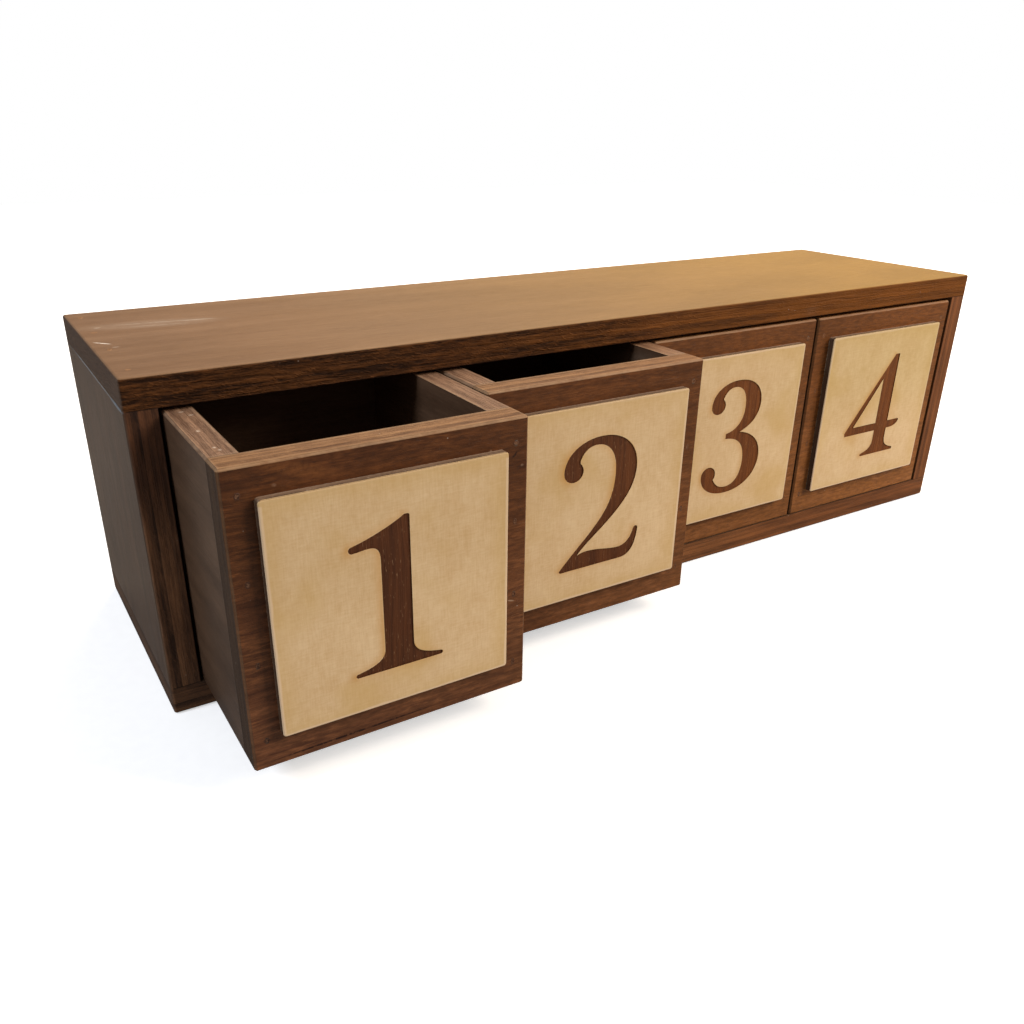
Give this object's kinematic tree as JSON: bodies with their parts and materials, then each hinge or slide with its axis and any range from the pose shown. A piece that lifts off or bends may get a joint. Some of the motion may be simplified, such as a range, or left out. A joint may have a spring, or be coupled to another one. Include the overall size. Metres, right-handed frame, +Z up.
{
  "type": "wooden drawer organizer",
  "caption": "Low plywood carcass with a row of open-topped drawers that pull out at the front, each with a pale plate on its face.",
  "frame": {"origin": "middle of the carcass's underside, on the surface that it stands on", "axes": "+Z up, +X to the right along the row of drawers seen from the front, drawers pull out towards -Y"},
  "size_m": [0.4, 0.1664, 0.1165],
  "materials": {
    "stained_plywood": "satin stain",
    "pale_plate": "clear satin",
    "brad_steel": "dull"
  },
  "bodies": {
    "carcass": {"bottom_board": "stained_plywood", "top_board": "stained_plywood", "left_side_board": "stained_plywood", "right_side_board": "stained_plywood", "back_panel": "stained_plywood", "top_board_brads": "brad_steel", "bottom_board_brads": "brad_steel", "back_panel_pins": "brad_steel"},
    "drawer_1": {"drawer_1_front": "stained_plywood", "drawer_1_left_side": "stained_plywood", "drawer_1_right_side": "stained_plywood", "drawer_1_back": "stained_plywood", "drawer_1_bottom_panel": "stained_plywood", "drawer_1_plate": "pale_plate", "drawer_1_front_brads": "brad_steel", "drawer_1_back_brads": "brad_steel"},
    "drawer_2": {"drawer_2_front": "stained_plywood", "drawer_2_left_side": "stained_plywood", "drawer_2_right_side": "stained_plywood", "drawer_2_back": "stained_plywood", "drawer_2_bottom_panel": "stained_plywood", "drawer_2_plate": "pale_plate", "drawer_2_front_brads": "brad_steel", "drawer_2_back_brads": "brad_steel"},
    "drawer_3": {"drawer_3_front": "stained_plywood", "drawer_3_left_side": "stained_plywood", "drawer_3_right_side": "stained_plywood", "drawer_3_back": "stained_plywood", "drawer_3_bottom_panel": "stained_plywood", "drawer_3_plate": "pale_plate", "drawer_3_front_brads": "brad_steel", "drawer_3_back_brads": "brad_steel"},
    "drawer_4": {"drawer_4_front": "stained_plywood", "drawer_4_left_side": "stained_plywood", "drawer_4_right_side": "stained_plywood", "drawer_4_back": "stained_plywood", "drawer_4_bottom_panel": "stained_plywood", "drawer_4_plate": "pale_plate", "drawer_4_front_brads": "brad_steel", "drawer_4_back_brads": "brad_steel"}
  },
  "joints": [
    {"name": "drawer_1_slide", "type": "slide", "parent": "carcass", "child": "drawer_1", "axis": [0, -1, 0], "range_m": [-0.0564, 0.0336]},
    {"name": "drawer_2_slide", "type": "slide", "parent": "carcass", "child": "drawer_2", "axis": [0, -1, 0], "range_m": [-0.0297, 0.0603]},
    {"name": "drawer_3_slide", "type": "slide", "parent": "carcass", "child": "drawer_3", "axis": [0, -1, 0], "range_m": [0, 0.09]},
    {"name": "drawer_4_slide", "type": "slide", "parent": "carcass", "child": "drawer_4", "axis": [0, -1, 0], "range_m": [0, 0.09]}
  ]
}
